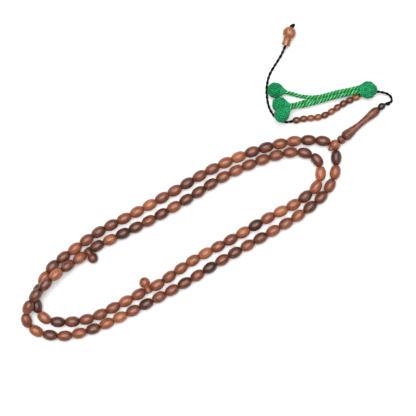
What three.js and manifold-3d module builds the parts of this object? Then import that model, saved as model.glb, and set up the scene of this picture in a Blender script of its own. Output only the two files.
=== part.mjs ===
// Misbaha: ninety-nine wooden beads in three sections of thirty-three, threaded on one closed string that is
// laid down as a double loop, with two dividers, a turned imam, a knotted rope tassel and ten counter beads.
// Millimetres, +Z up, lying on the plane Z = 0.
import * as THREE from 'three';
import { mergeVertices } from 'three/addons/utils/BufferGeometryUtils.js';
import Module from 'manifold-3d';

const wasm = await Module();
wasm.setup();

// ---------------------------------------------------------------- driving dimensions

const LAYOUT_SHIFT = [0.6, -0.13, 0]; // puts the middle of the beads, wood and knots over the origin

const SECTION_COUNT = 3;
const BEADS_PER_SECTION = 33;
const LOOSE_BEADS = 3; // single bored beads at each end of a section
const RUN_LENGTHS = [5, 6, 5, 6, 5]; // beads that share one run of tight string, between the loose ones

const BEAD_HALF = 4.5; // half the length of a bead
const BEAD_RADIUS = 3.6;
const BEAD_BORE = 0.95;
const BEAD_HEIGHT = 3.45; // height of the string where the beads lie on the table
const STRING_RADIUS = 0.5;
const NECK_RADIUS = 1.1; // where a bead meets its neighbour in a run
const STRING_LEAD = 0.05; // string between a run's end bead and the first ring of the plain string
const STRING_END = 0.9; // string's end, from the middle of the head
const STRING_MEETING = 0.2; // end of each section's string, from the middle of a divider

const HEAD_REACH = 3.75; // string from the head's centre to the end of the first bead's place
const DIVIDER_SPAN = 4.3; // string that a divider takes up

const HEAD_CENTRE = new THREE.Vector3(84.9, 24.3, 3.7);
const IMAM_TIP = new THREE.Vector3(115.2, 49.3, 2.85); // centre of the stop bead
const RING_CENTRE = 5.2; // distances along the imam from the head's centre
const STOP_BEAD_CENTRE = 39.3;
const IMAM_CORD_DISTANCES = [3.9, 14, 26, STOP_BEAD_CENTRE]; // points of the cord's straight stretch
const HEAD_BORE = 1.15;
const HEAD_BORE_REACH = 5; // past the head's surface

const CORD_RADIUS = 0.72;
const CORD_BORE = 1.12;
const ROPE_RADIUS = 1.3;
const CAP_CORD_DISTANCES = [-7, 0, 4]; // points of the cord inside the cap, from its ball's centre
const IMAM_CORD_STEPS = 22;
const TAIL_CORD_STEPS = 44;
const ROPE_STEPS = 14;

const TASSEL_KNOT_CENTRE = new THREE.Vector3(106.3, 60.0, 5.0);

const COUNTER_COUNT = 10;
const COUNTER_PITCH = 4.72;
const COUNTER_HALF = 2.15;
const COUNTER_RADIUS = 2.25;
const LAST_COUNTER_STATION = 2.95; // of the counter nearest the tassel knot

const CAP_BALL_CENTRE = new THREE.Vector3(55.2, 97.0, 4.4);
const CAP_MOUTH_CENTRE = new THREE.Vector3(52.75, 88.9, 3.6);
const STOP_KNOT_DISTANCE = 5.2; // from the cap's ball centre

const ROUND_SIDES = 8;
const FINE_SIDES = 12;
const STEPS_PER_POINT = 40; // fineness with which a path's length is measured
const WELD_DISTANCE = 1e-5;
const TABLE_SIZE = 300;
const TABLE_DEPTH = 20;

const X_AXIS = new THREE.Vector3(1, 0, 0);
const Z_AXIS = new THREE.Vector3(0, 0, 1);

// ---------------------------------------------------------------- routes, as points on the centreline

// The loop's string, section by section. A third value is a height where the string isn't at BEAD_HEIGHT.
const SECTION_ROUTES = [
  [
    [77.1, 26.8], [58.9, 26.8], [32.1, 20.2], [5.9, 9.0], [-19.0, -5.3], [-43.9, -19.3], [-68.5, -32.2],
    [-84.2, -43.2], [-99.1, -55.1], [-103.8, -61.8], [-108.0, -70.0], [-108.9, -80.4], [-103.5, -88.5],
    [-94.8, -90.8], [-75.1, -88.7], [-58.4, -81.1], [-42.6, -72.7], [-36.7, -69.7],
  ],
  [
    [-30.8, -66.8], [-7.7, -51.0], [17.3, -37.2], [41.9, -22.9], [58.9, -14.0], [65.7, -9.2], [72.5, -3.1],
    [75.5, 5.5], [73.3, 14.3], [64.9, 19.0], [56.8, 19.4], [39.1, 15.0], [13.5, 4.0], [-11.4, -11.2],
    [-35.4, -24.8], [-60.8, -37.2], [-69.7, -41.5], [-75.4, -45.2],
  ],
  [
    [-81.2, -49.5, 4.2], [-89.4, -54.8, 7.1], [-96.8, -60.5, 9.4], [-103.0, -66.4, 10.4], [-109.8, -74.0, 10.4],
    [-114.4, -81.7, 8.4], [-115.2, -90.5, 5.0], [-108.2, -97.3], [-98.7, -99.6], [-89.8, -99.8], [-71.1, -95.0],
    [-45.2, -83.0], [-11.6, -64.9], [12.0, -50.4], [44.6, -31.7], [60.7, -22.1], [75.4, -10.4], [81.6, -2.3],
    [84.9, 5.9], [85.7, 15.8],
  ],
];

// The black cord's free arc from the stop bead to the tassel knot.
const CORD_ARC_ROUTE = [
  [117.0, 50.7, 2.7], [119.0, 51.3, 2.0], [121.0, 51.9, 1.3], [122.0, 53.7, 1.0], [121.3, 55.9, 1.3],
  [118.8, 57.7, 2.2], [115.6, 58.5, 3.2], [112.3, 58.8, 4.0],
];

// The black cord from the tassel knot through the counters, under the third end knot and up to the end cap.
const TAIL_CORD_ROUTE = [
  [101.4, 56.9, 2.9], [98.9, 55.4, 2.4], [95.1, 53.5, 2.3], [91.0, 51.4, 2.25], [86.8, 48.8, 2.25],
  [82.8, 46.1, 2.25], [78.6, 43.8, 2.25], [74.2, 42.4, 2.25], [69.4, 41.8, 2.25], [64.5, 41.3, 2.25],
  [59.9, 40.4, 2.25], [57.5, 39.8, 2.1], [55.0, 39.3, 1.4], [52.0, 39.3, 0.8], [49.2, 40.3, 0.75],
  [46.7, 42.1, 0.75], [44.3, 44.7, 0.75], [42.2, 48.7, 0.75], [40.9, 54.3, 0.75], [40.5, 60.2, 0.75],
  [41.0, 65.0, 0.75], [42.3, 69.8, 0.75], [44.5, 74.0, 0.75], [47.3, 78.4, 0.95], [49.9, 82.7, 1.7],
  [51.5, 86.0, 2.8],
];

// The three ropes, each from the tassel knot to its own end knot.
const ROPE_ROUTES = [
  [
    [100.3, 61.2, 5.2], [97.5, 61.0, 4.9], [94.4, 60.2, 4.3], [88.1, 59.1, 3.2], [81.6, 57.5, 2.3],
    [75.1, 55.8, 1.6], [68.6, 55.4, 1.4], [62.1, 56.2, 1.6], [56.5, 57.7, 2.8], [51.4, 59.0, 4.1],
  ],
  [
    [100.4, 58.4, 4.9], [97.5, 58.2, 4.7], [94.4, 57.4, 4.2], [88.1, 56.2, 3.1], [81.6, 54.6, 2.0],
    [75.1, 52.9, 1.45], [70.0, 52.7, 1.4], [65.4, 52.4, 1.4], [62.0, 51.5, 1.6], [58.5, 50.5, 2.5],
    [54.4, 50.0, 3.9],
  ],
  [
    [101.0, 58.3, 8.2], [97.5, 58.2, 7.6], [94.4, 57.4, 7.0], [88.1, 56.2, 5.9], [81.6, 54.6, 4.9],
    [75.1, 52.6, 4.4], [70.0, 51.2, 4.1], [65.4, 50.0, 3.8], [62.0, 49.4, 4.3], [59.0, 49.1, 5.4],
    [56.6, 48.5, 7.0], [54.4, 47.1, 8.6],
  ],
];

// Centre and radius of each rope's end knot.
const END_KNOTS = [
  { centre: new THREE.Vector3(45.9, 59.8, 4.5), radius: 4.75 },
  { centre: new THREE.Vector3(48.8, 50.5, 4.1), radius: 4.25 },
  { centre: new THREE.Vector3(50.0, 43.5, 9.5), radius: 4.25 },
];

// ---------------------------------------------------------------- materials

function finish(color, roughness) {
  return new THREE.MeshStandardMaterial({ color, roughness, metalness: 0 });
}

const BEAD_WOOD = finish(0x8a4a35, 0.42);
const LIGHT_WOOD = finish(0xb9744a, 0.45);
const IMAM_WOOD = finish(0x7d4b3a, 0.6);
const DARK_WOOD = finish(0x2b1f1d, 0.4);
const BLACK_CORD = finish(0x111012, 0.85);
const GREEN_ROPE = finish(0x1f9a56, 0.8);

// ---------------------------------------------------------------- solids

// Leaves only positions, with shared vertices merged and no flat triangles.
function merged(geometry) {
  geometry.deleteAttribute('normal');
  geometry.deleteAttribute('uv');
  const welded = mergeVertices(geometry, WELD_DISTANCE);
  const kept = [];
  const index = welded.index.array;
  for (let i = 0; i < index.length; i += 3) {
    const [a, b, c] = [index[i], index[i + 1], index[i + 2]];
    if (a !== b && b !== c && c !== a) kept.push(a, b, c);
  }
  welded.setIndex(kept);
  welded.computeVertexNormals();
  return welded;
}

function solidOf(geometry) {
  const clean = merged(geometry.clone());
  const vertProperties = new Float32Array(clean.attributes.position.array);
  const triVerts = new Uint32Array(clean.index.array);
  return new wasm.Manifold(new wasm.Mesh({ numProp: 3, vertProperties, triVerts }));
}

function geometryOf(solid) {
  const mesh = solid.getMesh();
  const geometry = new THREE.BufferGeometry();
  geometry.setAttribute('position', new THREE.BufferAttribute(mesh.vertProperties, 3));
  geometry.setIndex(new THREE.BufferAttribute(mesh.triVerts, 1));
  geometry.computeVertexNormals();
  return geometry;
}

// A turned solid about +X. The profile is [x, radius] from its low end to its high end. It starts and ends on
// the axis, or goes on along the wall of a bore and is closed here.
function turned(profile, sides) {
  const bored = profile[0][1] > 0;
  const outline = bored ? [...profile, profile[0]] : profile;
  const points = outline.map(([x, r]) => new THREE.Vector2(r, x));
  const lathe = new THREE.LatheGeometry(points, sides);
  lathe.rotateY(Math.PI / sides);
  lathe.rotateZ(-Math.PI / 2);
  return merged(lathe);
}

// Turns a solid made about +X so that it points along a direction, with one facet facing down, and places it.
function aimed(geometry, centre, direction) {
  const ahead = direction.clone().normalize();
  const side = new THREE.Vector3().crossVectors(Z_AXIS, ahead).normalize();
  const up = new THREE.Vector3().crossVectors(ahead, side);
  const placement = new THREE.Matrix4().makeBasis(ahead, side, up).setPosition(centre);
  return geometry.applyMatrix4(placement);
}

// A plain round cutter from one point to another.
function drill(from, to, radius) {
  const along = new THREE.Vector3().subVectors(to, from);
  const cylinder = turned([[0, 0], [0, radius], [along.length(), radius], [along.length(), 0]], ROUND_SIDES);
  return solidOf(aimed(cylinder, from, along));
}

// Everything below the table.
function tableCutter() {
  const block = new THREE.BoxGeometry(TABLE_SIZE, TABLE_SIZE, TABLE_DEPTH);
  block.translate(0, 0, -TABLE_DEPTH / 2);
  return solidOf(block);
}

function pathThrough(points, closed = false) {
  const vectors = points.map(([x, y, z = BEAD_HEIGHT]) => new THREE.Vector3(x, y, z));
  const curve = new THREE.CatmullRomCurve3(vectors, closed, 'centripetal');
  curve.arcLengthDivisions = STEPS_PER_POINT * points.length;
  return curve;
}

// A round tube along a path, closed at both ends.
function tube(curve, radius, steps) {
  const section = new THREE.Shape();
  for (let corner = 0; corner < ROUND_SIDES; corner += 1) {
    const angle = ((corner + 0.5) * 2 * Math.PI) / ROUND_SIDES;
    const [x, y] = [radius * Math.cos(angle), radius * Math.sin(angle)];
    if (corner === 0) section.moveTo(x, y);
    else section.lineTo(x, y);
  }
  section.closePath();
  return merged(new THREE.ExtrudeGeometry(section, { steps, extrudePath: curve }));
}

// Joins rings of equal corner count into one closed solid. Each ring has a centre, an axis and a radius.
function lofted(rings) {
  const positions = [];
  for (const { centre, axis, radius } of rings) {
    const side = new THREE.Vector3().crossVectors(Z_AXIS, axis).normalize();
    const up = new THREE.Vector3().crossVectors(axis, side);
    for (let corner = 0; corner < ROUND_SIDES; corner += 1) {
      const angle = ((corner + 0.5) * 2 * Math.PI) / ROUND_SIDES;
      const point = centre.clone();
      point.addScaledVector(side, radius * Math.cos(angle));
      point.addScaledVector(up, radius * Math.sin(angle));
      positions.push(point.x, point.y, point.z);
    }
  }
  const index = [];
  for (let ring = 0; ring < rings.length - 1; ring += 1) {
    for (let corner = 0; corner < ROUND_SIDES; corner += 1) {
      const next = (corner + 1) % ROUND_SIDES;
      const [a, b] = [ring * ROUND_SIDES + corner, ring * ROUND_SIDES + next];
      index.push(a, b, a + ROUND_SIDES, b, b + ROUND_SIDES, a + ROUND_SIDES);
    }
  }
  const last = (rings.length - 1) * ROUND_SIDES;
  for (let corner = 1; corner < ROUND_SIDES - 1; corner += 1) {
    index.push(0, corner + 1, corner);
    index.push(last, last + corner, last + corner + 1);
  }
  const geometry = new THREE.BufferGeometry();
  geometry.setAttribute('position', new THREE.Float32BufferAttribute(positions, 3));
  geometry.setIndex(index);
  geometry.computeVertexNormals();
  return geometry;
}

// ---------------------------------------------------------------- the loop and its stations

// The string's centreline as a closed path that starts and ends at the imam head.
const loop = pathThrough([HEAD_CENTRE.toArray(), ...SECTION_ROUTES.flat()], true);
const loopLength = loop.getLength();

function loopPoint(station) {
  return loop.getPointAt(((station / loopLength) % 1 + 1) % 1);
}

function loopDirection(station) {
  const ahead = loopPoint(station + BEAD_HALF);
  return ahead.sub(loopPoint(station - BEAD_HALF)).normalize();
}

// A divider sits on the last point of its section's route.
function dividerStation(divider) {
  const point = SECTION_ROUTES.slice(0, divider + 1).flat().length;
  return loop.getLengths()[point * STEPS_PER_POINT];
}

// The stretch of string that a section's beads share equally.
function sectionStretch(section) {
  const start = section === 0 ? HEAD_REACH : dividerStation(section - 1) + DIVIDER_SPAN / 2;
  const last = section === SECTION_COUNT - 1;
  const end = last ? loopLength - HEAD_REACH : dividerStation(section) - DIVIDER_SPAN / 2;
  return { start, pitch: (end - start) / BEADS_PER_SECTION };
}

// Where bead number `bead` (from 0) of section `section` (from 0) sits along the string.
function beadStation(section, bead) {
  const { start, pitch } = sectionStretch(section);
  return start + (bead + 0.5) * pitch;
}

// ---------------------------------------------------------------- main beads

const BEAD_OUTLINE = [
  [-BEAD_HALF, NECK_RADIUS], [-2.8, 2.95], [0, BEAD_RADIUS], [2.8, 2.95], [BEAD_HALF, NECK_RADIUS],
];

function looseBead(section, bead) {
  const station = beadStation(section, bead);
  const outline = [...BEAD_OUTLINE, [BEAD_HALF, BEAD_BORE], [-BEAD_HALF, BEAD_BORE]];
  return aimed(turned(outline, ROUND_SIDES), loopPoint(station), loopDirection(station));
}

function stringRings(from, to) {
  const steps = Math.round((to - from) / BEAD_HALF);
  return Array.from({ length: steps + 1 }, (_, step) => {
    const station = from + ((to - from) * step) / steps;
    return { centre: loopPoint(station), axis: loopDirection(station), radius: STRING_RADIUS };
  });
}

function beadRings(section, bead) {
  const station = beadStation(section, bead);
  const [middle, axis] = [loopPoint(station), loopDirection(station)];
  return BEAD_OUTLINE.map(([x, radius]) => ({ centre: middle.clone().addScaledVector(axis, x), axis, radius }));
}

// A run of beads held tight on its stretch of string. The first and last runs of a section carry the string
// on through the loose beads.
function beadRun(section, first, count) {
  const last = first + count - 1;
  const rings = [];
  if (first === LOOSE_BEADS) {
    const start = section === 0 ? STRING_END : dividerStation(section - 1) + STRING_MEETING;
    rings.push(...stringRings(start, beadStation(section, first) - BEAD_HALF - STRING_LEAD));
  }
  for (let bead = first; bead <= last; bead += 1) rings.push(...beadRings(section, bead));
  if (last === BEADS_PER_SECTION - LOOSE_BEADS - 1) {
    const atHead = section === SECTION_COUNT - 1;
    const end = atHead ? loopLength - STRING_END : dividerStation(section) - STRING_MEETING;
    rings.push(...stringRings(beadStation(section, last) + BEAD_HALF + STRING_LEAD, end));
  }
  return lofted(rings);
}

// ---------------------------------------------------------------- dividers

const DIVIDER_PROFILE = [
  [-2.3, 0], [-2.3, 2.25], [-1.4, 2.0], [1.2, 1.75], [2.1, 1.75], [3.2, 2.95], [5.1, 3.5], [7.0, 2.95],
  [8.2, 1.75], [8.6, 0],
];

const DIVIDER_BORE_REACH = 5; // past the drum on each side

function divider(number) {
  const station = dividerStation(number);
  const [centre, along] = [loopPoint(station), loopDirection(station)];
  const inwards = new THREE.Vector3().crossVectors(Z_AXIS, along);
  const body = solidOf(aimed(turned(DIVIDER_PROFILE, FINE_SIDES), centre, inwards));
  const from = centre.clone().addScaledVector(along, -DIVIDER_BORE_REACH);
  const to = centre.clone().addScaledVector(along, DIVIDER_BORE_REACH);
  return geometryOf(body.subtract(drill(from, to, BEAD_BORE)));
}

// ---------------------------------------------------------------- imam

const imamDirection = new THREE.Vector3().subVectors(IMAM_TIP, HEAD_CENTRE).normalize();

function onImam(distance) {
  return HEAD_CENTRE.clone().addScaledVector(imamDirection, distance);
}

const HEAD_PROFILE = [
  [-5.6, 0], [-5.1, 0.7], [-4.0, 1.55], [-3.1, 1.75], [-2.7, 2.05], [-1.6, 3.0], [0, 3.45], [1.6, 3.0],
  [2.8, 1.85], [3.3, 0],
];

// The ball where both ends of the string come in and the imam's cord leaves, with its pointed foot.
function imamHead() {
  let head = solidOf(aimed(turned(HEAD_PROFILE, FINE_SIDES), HEAD_CENTRE, imamDirection));
  const mouths = [loopPoint(BEAD_HALF), loopPoint(-BEAD_HALF), onImam(HEAD_BORE_REACH)];
  for (const mouth of mouths) head = head.subtract(drill(HEAD_CENTRE, mouth, HEAD_BORE));
  return geometryOf(head);
}

const RING_PROFILE = [[-1.6, 1.3], [-1.6, 2.2], [-0.8, 2.9], [0.8, 2.9], [1.6, 2.2], [1.6, 1.3]];

function imamRing() {
  return aimed(turned(RING_PROFILE, FINE_SIDES), onImam(RING_CENTRE), imamDirection);
}

const IMAM_PROFILE = [
  [7.1, 2.0], [8.2, 2.95], [10.2, 3.45], [13.5, 3.1], [17.5, 2.4], [21.7, 2.05], [26.0, 2.2], [30.5, 2.75],
  [33.4, 2.95], [35.6, 2.45], [36.8, 1.5], [36.8, CORD_BORE], [7.1, CORD_BORE],
];

function imamBody() {
  return aimed(turned(IMAM_PROFILE, FINE_SIDES), HEAD_CENTRE, imamDirection);
}

const STOP_BEAD_PROFILE = [
  [-2.15, 1.35], [-1.2, 2.05], [0, 2.3], [1.2, 2.05], [2.15, 1.35], [2.15, CORD_BORE], [-2.15, CORD_BORE],
];

function stopBead() {
  return aimed(turned(STOP_BEAD_PROFILE, ROUND_SIDES), onImam(STOP_BEAD_CENTRE), imamDirection);
}

// The cord on which the imam's pieces turn, on round its free arc to the tassel knot.
function imamCord() {
  const straight = IMAM_CORD_DISTANCES.map((distance) => onImam(distance).toArray());
  return tube(pathThrough([...straight, ...CORD_ARC_ROUTE]), CORD_RADIUS, IMAM_CORD_STEPS);
}

// ---------------------------------------------------------------- tassel

// As shares of the knot's radius.
const END_KNOT_PROFILE = [
  [-1, 0], [-0.88, 0.5], [-0.5, 0.88], [0, 1], [0.5, 0.87], [0.82, 0.62], [1.1, 0.4], [1.1, 0],
];

function endKnot({ centre, radius }, ropeRoute) {
  const ropeEnd = new THREE.Vector3(...ropeRoute.at(-1));
  const profile = END_KNOT_PROFILE.map(([x, r]) => [x * radius, r * radius]);
  const towardsRope = new THREE.Vector3().subVectors(ropeEnd, centre);
  const knot = solidOf(aimed(turned(profile, FINE_SIDES), centre, towardsRope));
  return geometryOf(knot.subtract(tableCutter()));
}

const TASSEL_KNOT_PROFILE = [
  [-5.5, 0], [-5.1, 2.0], [-3.8, 4.0], [-2.0, 5.15], [0, 5.5], [2.0, 5.1], [3.7, 3.9], [4.9, 2.2], [5.4, 0.9],
  [5.4, 0],
];

function tasselKnot() {
  const knot = solidOf(aimed(turned(TASSEL_KNOT_PROFILE, FINE_SIDES), TASSEL_KNOT_CENTRE, X_AXIS));
  return geometryOf(knot.subtract(tableCutter()));
}

function rope(route) {
  return tube(pathThrough(route), ROPE_RADIUS, ROPE_STEPS);
}

// ---------------------------------------------------------------- counters, tail and end cap

const capDirection = new THREE.Vector3().subVectors(CAP_BALL_CENTRE, CAP_MOUTH_CENTRE).normalize();

function onCap(distance) {
  return CAP_BALL_CENTRE.clone().addScaledVector(capDirection, distance);
}

const capStretch = CAP_CORD_DISTANCES.map((distance) => onCap(distance).toArray());
const tailPath = pathThrough([...TAIL_CORD_ROUTE, ...capStretch]);
const tailLength = tailPath.getLength();

function tailCord() {
  return tube(tailPath, CORD_RADIUS, TAIL_CORD_STEPS);
}

const COUNTER_PROFILE = [
  [-COUNTER_HALF, 1.35], [-1.2, 2.0], [0, COUNTER_RADIUS], [1.2, 2.0], [COUNTER_HALF, 1.35],
  [COUNTER_HALF, CORD_BORE], [-COUNTER_HALF, CORD_BORE],
];

// Counter number 1 is the one furthest from the tassel knot.
function counter(number) {
  const station = LAST_COUNTER_STATION + (COUNTER_COUNT - number) * COUNTER_PITCH;
  const centre = tailPath.getPointAt(station / tailLength);
  const direction = tailPath.getTangentAt(station / tailLength);
  return aimed(turned(COUNTER_PROFILE, ROUND_SIDES), centre, direction);
}

const CAP_PROFILE = [
  [-8.4, 2.75], [-6.5, 2.5], [-4.2, 2.45], [-3.5, 2.4], [-2.2, 3.6], [0, 4.2], [2.0, 3.75], [3.4, 2.6],
  [4.0, 1.5], [3.2, CORD_BORE], [-5.8, CORD_BORE], [-8.4, 1.9],
];

function endCap() {
  return aimed(turned(CAP_PROFILE, FINE_SIDES), CAP_BALL_CENTRE, capDirection);
}

const STOP_KNOT_PROFILE = [[-1.2, 0], [-0.8, 1.2], [0, 1.7], [0.8, 1.2], [1.2, 0]];

function stopKnot() {
  return aimed(turned(STOP_KNOT_PROFILE, ROUND_SIDES), onCap(STOP_KNOT_DISTANCE), capDirection);
}

// ---------------------------------------------------------------- assembly

const misbaha = new THREE.Group();
misbaha.position.set(...LAYOUT_SHIFT);

function add(name, geometry, material) {
  const mesh = new THREE.Mesh(geometry, material);
  mesh.name = name;
  misbaha.add(mesh);
}

for (let section = 0; section < SECTION_COUNT; section += 1) {
  for (let bead = 0; bead < BEADS_PER_SECTION; bead += 1) {
    const loose = bead < LOOSE_BEADS || bead >= BEADS_PER_SECTION - LOOSE_BEADS;
    if (loose) add(`bead_${section + 1}_${bead + 1}`, looseBead(section, bead), BEAD_WOOD);
  }
  let first = LOOSE_BEADS;
  for (const count of RUN_LENGTHS) {
    add(`bead_run_${section + 1}_${first + 1}_to_${first + count}`, beadRun(section, first, count), BEAD_WOOD);
    first += count;
  }
}

add('divider_1', divider(0), BEAD_WOOD);
add('divider_2', divider(1), BEAD_WOOD);

add('imam_head', imamHead(), LIGHT_WOOD);
add('imam_ring', imamRing(), IMAM_WOOD);
add('imam_body', imamBody(), IMAM_WOOD);
add('stop_bead', stopBead(), DARK_WOOD);
add('imam_cord', imamCord(), BLACK_CORD);

add('tassel_knot', tasselKnot(), GREEN_ROPE);
ROPE_ROUTES.forEach((route, index) => {
  add(`rope_${index + 1}`, rope(route), GREEN_ROPE);
  add(`end_knot_${index + 1}`, endKnot(END_KNOTS[index], route), GREEN_ROPE);
});

add('tail_cord', tailCord(), BLACK_CORD);
for (let number = 1; number <= COUNTER_COUNT; number += 1) {
  add(`counter_${number}`, counter(number), BEAD_WOOD);
}
add('end_cap', endCap(), LIGHT_WOOD);
add('stop_knot', stopKnot(), BLACK_CORD);

export default misbaha;
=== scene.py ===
"""Misbaha prayer beads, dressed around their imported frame.

Ninety-nine turned wooden beads on one closed string laid down as a double loop, two dividers, a turned imam,
a tassel of three green ropes with woven knots, and ten counter beads on a twisted black cord that ends in a
turned cap. Metres, +Z up, lying on the plane Z = 0.
"""

import logging
import math
import random
from collections.abc import Sequence
from dataclasses import dataclass, field
from enum import Enum

import bpy
from mathutils import Matrix, Vector


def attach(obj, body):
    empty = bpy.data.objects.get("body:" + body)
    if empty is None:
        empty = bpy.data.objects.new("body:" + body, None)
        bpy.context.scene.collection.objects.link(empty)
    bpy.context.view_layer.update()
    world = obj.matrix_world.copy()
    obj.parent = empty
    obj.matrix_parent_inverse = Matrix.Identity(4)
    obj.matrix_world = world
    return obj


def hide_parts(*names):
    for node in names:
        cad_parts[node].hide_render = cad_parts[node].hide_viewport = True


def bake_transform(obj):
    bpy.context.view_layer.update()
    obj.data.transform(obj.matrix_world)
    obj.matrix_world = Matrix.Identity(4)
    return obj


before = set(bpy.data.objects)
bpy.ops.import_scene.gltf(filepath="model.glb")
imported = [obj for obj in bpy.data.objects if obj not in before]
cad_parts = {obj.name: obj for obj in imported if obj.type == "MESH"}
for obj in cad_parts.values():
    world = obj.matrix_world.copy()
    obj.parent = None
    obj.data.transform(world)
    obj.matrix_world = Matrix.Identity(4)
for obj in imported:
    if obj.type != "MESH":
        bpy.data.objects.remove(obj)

log = logging.getLogger("misbaha")

SEED = 99
PLAIN_TONE = 0.5

MM = 0.001
X_AXIS = Vector((1, 0, 0))
Z_AXIS = Vector((0, 0, 1))

# ------------------------------------------------------------------ the laid-down routes, as in the part

LAYOUT_SHIFT = Vector((0.0006, -0.00013, 0.0))
BEAD_HEIGHT = 0.00345
HEAD_CENTRE = (0.0849, 0.0243, 0.0037)
IMAM_TIP = (0.1152, 0.0493, 0.00285)
TASSEL_KNOT_CENTRE = (0.1063, 0.0600, 0.0050)
CAP_BALL_CENTRE = (0.0552, 0.0970, 0.0044)
CAP_MOUTH_CENTRE = (0.05275, 0.0889, 0.0036)

# The loop's string, section by section. A third value is a height where it isn't at BEAD_HEIGHT.
SECTION_ROUTES = (
    (
        (0.0771, 0.0268), (0.0589, 0.0268), (0.0321, 0.0202), (0.0059, 0.0090), (-0.0190, -0.0053),
        (-0.0439, -0.0193), (-0.0685, -0.0322), (-0.0842, -0.0432), (-0.0991, -0.0551), (-0.1038, -0.0618),
        (-0.1080, -0.0700), (-0.1089, -0.0804), (-0.1035, -0.0885), (-0.0948, -0.0908), (-0.0751, -0.0887),
        (-0.0584, -0.0811), (-0.0426, -0.0727), (-0.0367, -0.0697),
    ),
    (
        (-0.0308, -0.0668), (-0.0077, -0.0510), (0.0173, -0.0372), (0.0419, -0.0229), (0.0589, -0.0140),
        (0.0657, -0.0092), (0.0725, -0.0031), (0.0755, 0.0055), (0.0733, 0.0143), (0.0649, 0.0190),
        (0.0568, 0.0194), (0.0391, 0.0150), (0.0135, 0.0040), (-0.0114, -0.0112), (-0.0354, -0.0248),
        (-0.0608, -0.0372), (-0.0697, -0.0415), (-0.0754, -0.0452),
    ),
    (
        (-0.0812, -0.0495, 0.0042), (-0.0894, -0.0548, 0.0071), (-0.0968, -0.0605, 0.0094),
        (-0.1030, -0.0664, 0.0104), (-0.1098, -0.0740, 0.0104), (-0.1144, -0.0817, 0.0084),
        (-0.1152, -0.0905, 0.0050), (-0.1082, -0.0973), (-0.0987, -0.0996), (-0.0898, -0.0998),
        (-0.0711, -0.0950), (-0.0452, -0.0830), (-0.0116, -0.0649), (0.0120, -0.0504), (0.0446, -0.0317),
        (0.0607, -0.0221), (0.0754, -0.0104), (0.0816, -0.0023), (0.0849, 0.0059), (0.0857, 0.0158),
    ),
)

# The black cord's free arc from the stop bead to the tassel knot.
CORD_ARC_ROUTE = (
    (0.1170, 0.0507, 0.0027), (0.1190, 0.0513, 0.0020), (0.1210, 0.0519, 0.0013),
    (0.1220, 0.0537, 0.0010), (0.1213, 0.0559, 0.0013), (0.1188, 0.0577, 0.0022),
    (0.1156, 0.0585, 0.0032), (0.1123, 0.0588, 0.0040),
)

# The black cord from the tassel knot through the counters, under the third end knot and up to the end cap.
TAIL_CORD_ROUTE = (
    (0.1014, 0.0569, 0.0029), (0.0989, 0.0554, 0.0024), (0.0951, 0.0535, 0.0023),
    (0.0910, 0.0514, 0.00225), (0.0868, 0.0488, 0.00225), (0.0828, 0.0461, 0.00225),
    (0.0786, 0.0438, 0.00225), (0.0742, 0.0424, 0.00225), (0.0694, 0.0418, 0.00225),
    (0.0645, 0.0413, 0.00225), (0.0599, 0.0404, 0.00225), (0.0575, 0.0398, 0.0021),
    (0.0550, 0.0393, 0.0014), (0.0520, 0.0393, 0.0008), (0.0492, 0.0403, 0.00075),
    (0.0467, 0.0421, 0.00075), (0.0443, 0.0447, 0.00075), (0.0422, 0.0487, 0.00075),
    (0.0409, 0.0543, 0.00075), (0.0405, 0.0602, 0.00075), (0.0410, 0.0650, 0.00075),
    (0.0423, 0.0698, 0.00075), (0.0445, 0.0740, 0.00075), (0.0473, 0.0784, 0.00095),
    (0.0499, 0.0827, 0.0017), (0.0515, 0.0860, 0.0028),
)

# The three ropes, each from the tassel knot to its own end knot.
ROPE_ROUTES = (
    (
        (0.1003, 0.0612, 0.0052), (0.0975, 0.0610, 0.0049), (0.0944, 0.0602, 0.0043),
        (0.0881, 0.0591, 0.0032), (0.0816, 0.0575, 0.0023), (0.0751, 0.0558, 0.0016),
        (0.0686, 0.0554, 0.0014), (0.0621, 0.0562, 0.0016), (0.0565, 0.0577, 0.0028),
        (0.0514, 0.0590, 0.0041),
    ),
    (
        (0.1004, 0.0584, 0.0049), (0.0975, 0.0582, 0.0047), (0.0944, 0.0574, 0.0042),
        (0.0881, 0.0562, 0.0031), (0.0816, 0.0546, 0.0020), (0.0751, 0.0529, 0.00145),
        (0.0700, 0.0527, 0.0014), (0.0654, 0.0524, 0.0014), (0.0620, 0.0515, 0.0016),
        (0.0585, 0.0505, 0.0025), (0.0544, 0.0500, 0.0039),
    ),
    (
        (0.1010, 0.0585, 0.0074), (0.0975, 0.0584, 0.0073), (0.0944, 0.0574, 0.0070),
        (0.0881, 0.0562, 0.0059), (0.0816, 0.0546, 0.0049), (0.0751, 0.0526, 0.0044),
        (0.0700, 0.0512, 0.0041), (0.0654, 0.0500, 0.0038), (0.0620, 0.0494, 0.0043),
        (0.0590, 0.0491, 0.0054), (0.0566, 0.0485, 0.0070), (0.0544, 0.0471, 0.0086),
    ),
)


def laid(point: Sequence[float]) -> Vector:
    """Moves a route's point to its place in the frame.

    Args:
        point: Two or three numbers. A missing height is the beads' string height.

    Returns:
        The point in the frame.
    """
    height = point[2] if len(point) > 2 else BEAD_HEIGHT
    return Vector((point[0], point[1], height)) + LAYOUT_SHIFT


@dataclass(frozen=True)
class Axis:
    """A straight line that turned pieces are threaded on."""

    origin: Vector
    direction: Vector

    def at(self, distance: float) -> Vector:
        """Returns the point that far past the origin."""
        return self.origin + self.direction * distance


# The imam's line from its head's centre to the stop bead, and the end cap's from its ball's centre outwards.
IMAM_AXIS = Axis(laid(HEAD_CENTRE), (laid(IMAM_TIP) - laid(HEAD_CENTRE)).normalized())
CAP_AXIS = Axis(laid(CAP_BALL_CENTRE), (laid(CAP_BALL_CENTRE) - laid(CAP_MOUTH_CENTRE)).normalized())

# Where the black cord's route has its points inside the cap.
CAP_STATIONS = (-7 * MM, 0.0, 4 * MM)


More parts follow.
